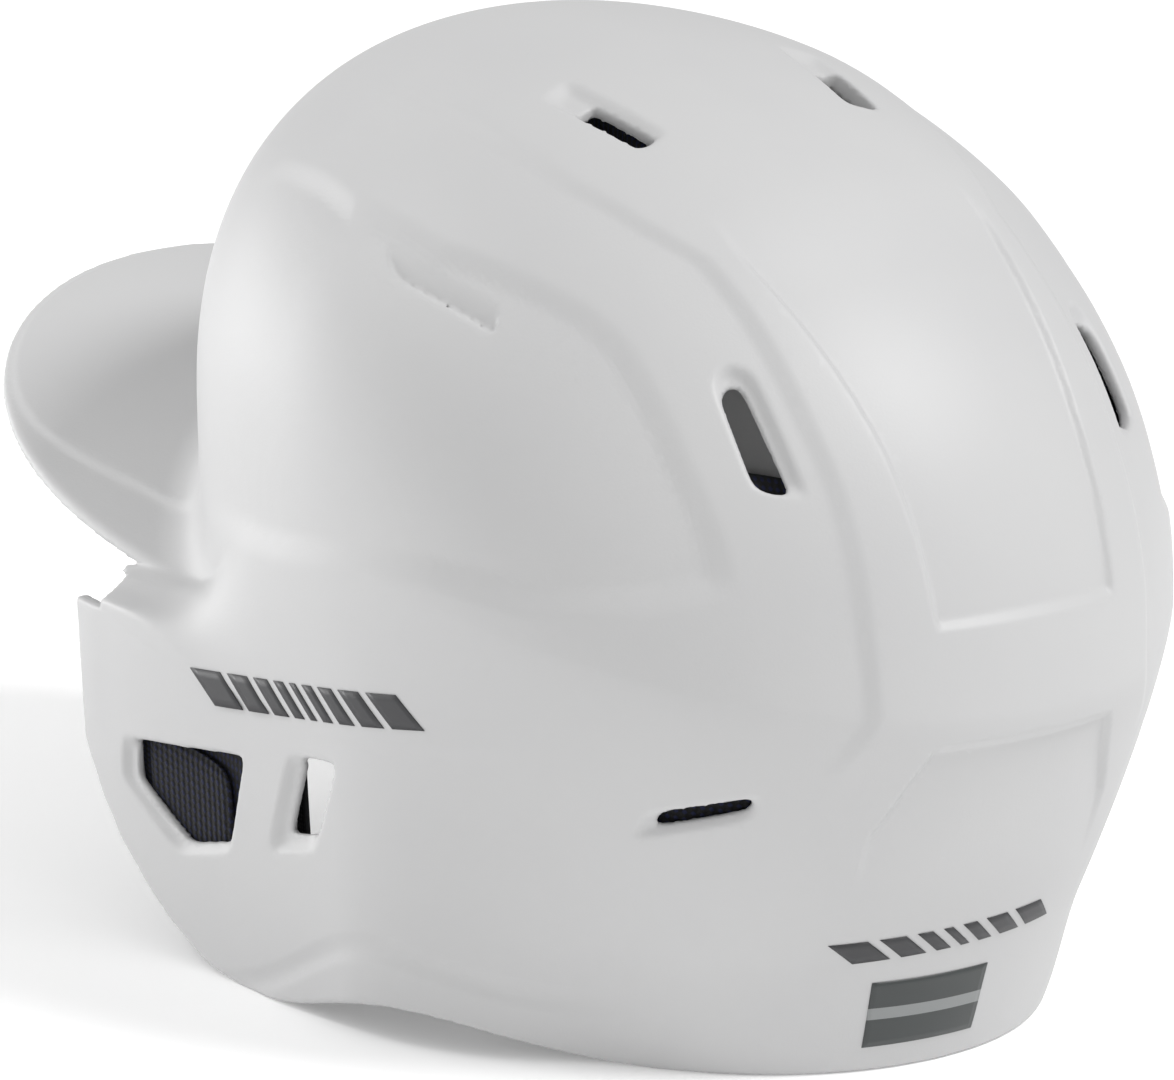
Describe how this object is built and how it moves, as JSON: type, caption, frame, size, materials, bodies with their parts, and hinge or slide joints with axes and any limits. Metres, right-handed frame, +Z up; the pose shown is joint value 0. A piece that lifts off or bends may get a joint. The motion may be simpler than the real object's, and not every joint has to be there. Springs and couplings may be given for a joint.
{
  "type": "batting helmet",
  "caption": "Hard-shell batting helmet with a front brim, two ear flaps and louvred vents, lined with layered foam pads, worn to protect the head, temples and ears.",
  "frame": {"origin": "middle of the bounding box in plan, on the plane that the ear flaps' and the nape's rims rest on", "axes": "+Z up from the resting plane to the crown, -Y towards the brim, +X towards the wearer's left ear flap"},
  "size_m": [0.2088, 0.316, 0.2135],
  "materials": {
    "shell": "matte moulded ABS, very light grey",
    "foam": "firm black closed-cell impact foam",
    "comfort": "soft black foam faced with knitted cloth",
    "fastener": "black hook-and-loop patch",
    "side_print": "thin dark film",
    "rear_print": "thin coloured film"
  },
  "bodies": {
    "root": {"crown_comfort": "comfort", "crown_fastener": "fastener", "crown_foam": "foam", "ear_rear_left_comfort": "comfort", "ear_rear_left_fastener": "fastener", "ear_rear_left_foam": "foam", "ear_rear_right_comfort": "comfort", "ear_rear_right_fastener": "fastener", "ear_rear_right_foam": "foam", "forehead_comfort": "comfort", "forehead_fastener": "fastener", "forehead_foam": "foam", "helmet_shell": "shell", "jaw_left_comfort": "comfort", "jaw_left_fastener": "fastener", "jaw_left_foam": "foam", "jaw_right_comfort": "comfort", "jaw_right_fastener": "fastener", "jaw_right_foam": "foam", "nape_comfort": "comfort", "nape_fastener": "fastener", "nape_foam": "foam", "rear_badge": "rear_print", "rear_label": "side_print", "rear_side_left_comfort": "comfort", "rear_side_left_fastener": "fastener", "rear_side_left_foam": "foam", "rear_side_right_comfort": "comfort", "rear_side_right_fastener": "fastener", "rear_side_right_foam": "foam", "side_label_left": "side_print", "side_label_right": "side_print", "temple_left_comfort": "comfort", "temple_left_fastener": "fastener", "temple_left_foam": "foam", "temple_right_comfort": "comfort", "temple_right_fastener": "fastener", "temple_right_foam": "foam", "upper_side_left_comfort": "comfort", "upper_side_left_fastener": "fastener", "upper_side_left_foam": "foam", "upper_side_right_comfort": "comfort", "upper_side_right_fastener": "fastener", "upper_side_right_foam": "foam"}
  },
  "joints": []
}
